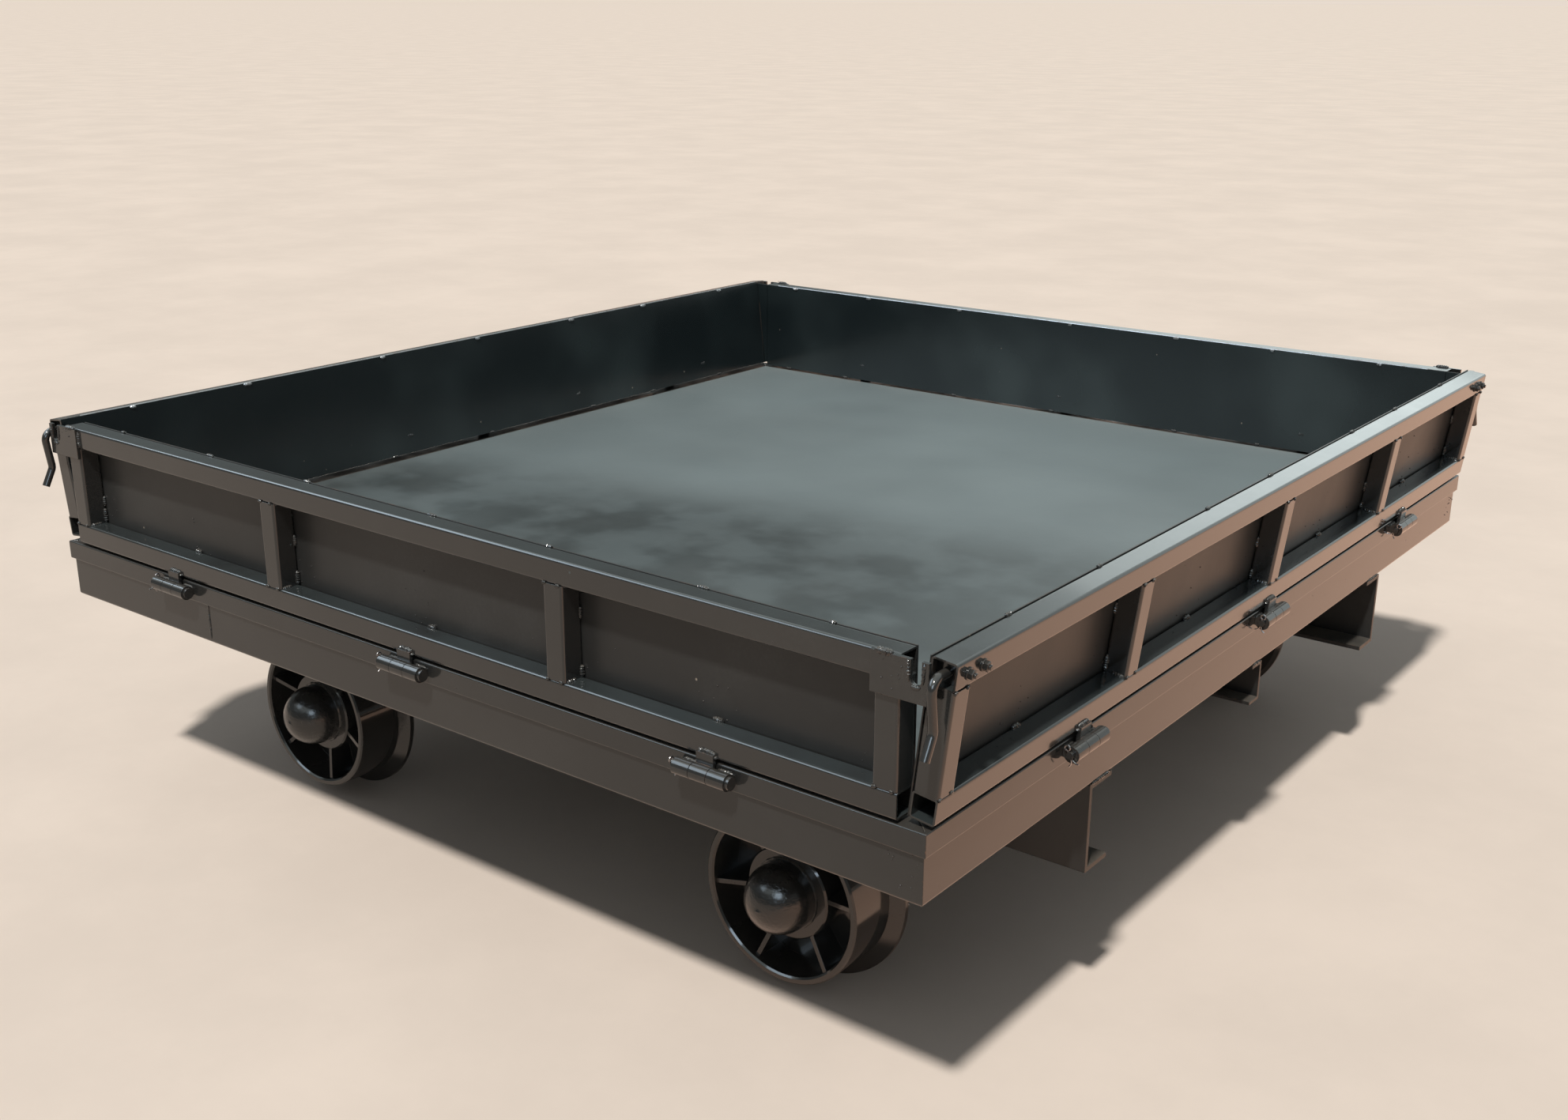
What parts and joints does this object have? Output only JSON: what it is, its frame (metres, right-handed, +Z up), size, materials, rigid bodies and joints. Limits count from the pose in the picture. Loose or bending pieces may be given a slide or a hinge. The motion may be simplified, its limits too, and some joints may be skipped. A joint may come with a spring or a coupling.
{
  "type": "flat rail trolley with drop sides",
  "caption": "Low flat-deck rail trolley on flanged wheels, with hinged tubular drop sides and end boards that latch at the corners.",
  "frame": {"origin": "on the floor under the middle of the deck, with the wheel flanges standing on z = 0", "axes": "+X along the track towards the front end, +Y across the track to the far side, +Z up"},
  "size_m": [2.0754, 2.2764, 0.7596],
  "materials": {
    "deck_enamel": "semi-gloss black enamel",
    "frame_enamel": "gloss black enamel",
    "panel_enamel": "gloss black enamel",
    "fitting_enamel": "gloss black enamel",
    "wheel_enamel": "gloss black enamel on cast iron",
    "axle_steel": "black enamel on steel bar"
  },
  "bodies": {
    "frame": {"deck_plate": "deck_enamel", "skirt_near": "frame_enamel", "skirt_far": "frame_enamel", "skirt_front": "frame_enamel", "skirt_rear": "frame_enamel", "rim_near": "frame_enamel", "rim_far": "frame_enamel", "rim_front": "frame_enamel", "rim_rear": "frame_enamel", "main_beam_near": "frame_enamel", "main_beam_far": "frame_enamel", "centre_beam": "frame_enamel", "cross_bearers": "frame_enamel", "axle_boxes_front": "frame_enamel", "axle_boxes_rear": "frame_enamel", "hinge_knuckles_near": "fitting_enamel", "hinge_knuckles_far": "fitting_enamel", "hinge_knuckles_front": "fitting_enamel", "hinge_knuckles_rear": "fitting_enamel", "hinge_pins_near": "fitting_enamel", "hinge_pins_far": "fitting_enamel", "hinge_pins_front": "fitting_enamel", "hinge_pins_rear": "fitting_enamel"},
    "wheelset_front": {"axle_front": "axle_steel", "wheel_front_near": "wheel_enamel", "wheel_front_far": "wheel_enamel", "hub_caps_front": "fitting_enamel"},
    "wheelset_rear": {"axle_rear": "axle_steel", "wheel_rear_near": "wheel_enamel", "wheel_rear_far": "wheel_enamel", "hub_caps_rear": "fitting_enamel"},
    "side_near": {"side_near_top_rail": "panel_enamel", "side_near_bottom_rail": "panel_enamel", "side_near_posts": "panel_enamel", "side_near_skin": "panel_enamel", "side_near_hinge_tabs": "fitting_enamel", "side_near_latch_plates": "panel_enamel"},
    "side_far": {"side_far_top_rail": "panel_enamel", "side_far_bottom_rail": "panel_enamel", "side_far_posts": "panel_enamel", "side_far_skin": "panel_enamel", "side_far_hinge_tabs": "fitting_enamel", "side_far_latch_plates": "panel_enamel"},
    "end_front": {"end_front_top_rail": "panel_enamel", "end_front_bottom_rail": "panel_enamel", "end_front_posts": "panel_enamel", "end_front_skin": "panel_enamel", "end_front_hinge_tabs": "fitting_enamel", "end_front_latch_rods": "fitting_enamel", "end_front_latch_guides": "panel_enamel"},
    "end_rear": {"end_rear_top_rail": "panel_enamel", "end_rear_bottom_rail": "panel_enamel", "end_rear_posts": "panel_enamel", "end_rear_skin": "panel_enamel", "end_rear_hinge_tabs": "fitting_enamel", "end_rear_latch_rods": "fitting_enamel", "end_rear_latch_guides": "panel_enamel"}
  },
  "joints": [
    {"name": "side_near_drop", "type": "hinge", "parent": "frame", "child": "side_near", "pos_m": [0, -1.12, 0.5], "axis": [1, 0, 0], "range_deg": [0, 180]},
    {"name": "side_far_drop", "type": "hinge", "parent": "frame", "child": "side_far", "pos_m": [0, 1.12, 0.5], "axis": [-1, 0, 0], "range_deg": [0, 180]},
    {"name": "end_front_drop", "type": "hinge", "parent": "frame", "child": "end_front", "pos_m": [1.02, 0, 0.5], "axis": [0, 1, 0], "range_deg": [0, 173.2]},
    {"name": "end_rear_drop", "type": "hinge", "parent": "frame", "child": "end_rear", "pos_m": [-1.02, 0, 0.5], "axis": [0, -1, 0], "range_deg": [0, 173.2]},
    {"name": "wheelset_front_roll", "type": "hinge", "parent": "frame", "child": "wheelset_front", "pos_m": [0.589, 0, 0.175], "axis": [0, 1, 0], "continuous": true},
    {"name": "wheelset_rear_roll", "type": "hinge", "parent": "frame", "child": "wheelset_rear", "pos_m": [-0.589, 0, 0.175], "axis": [0, 1, 0], "continuous": true}
  ]
}
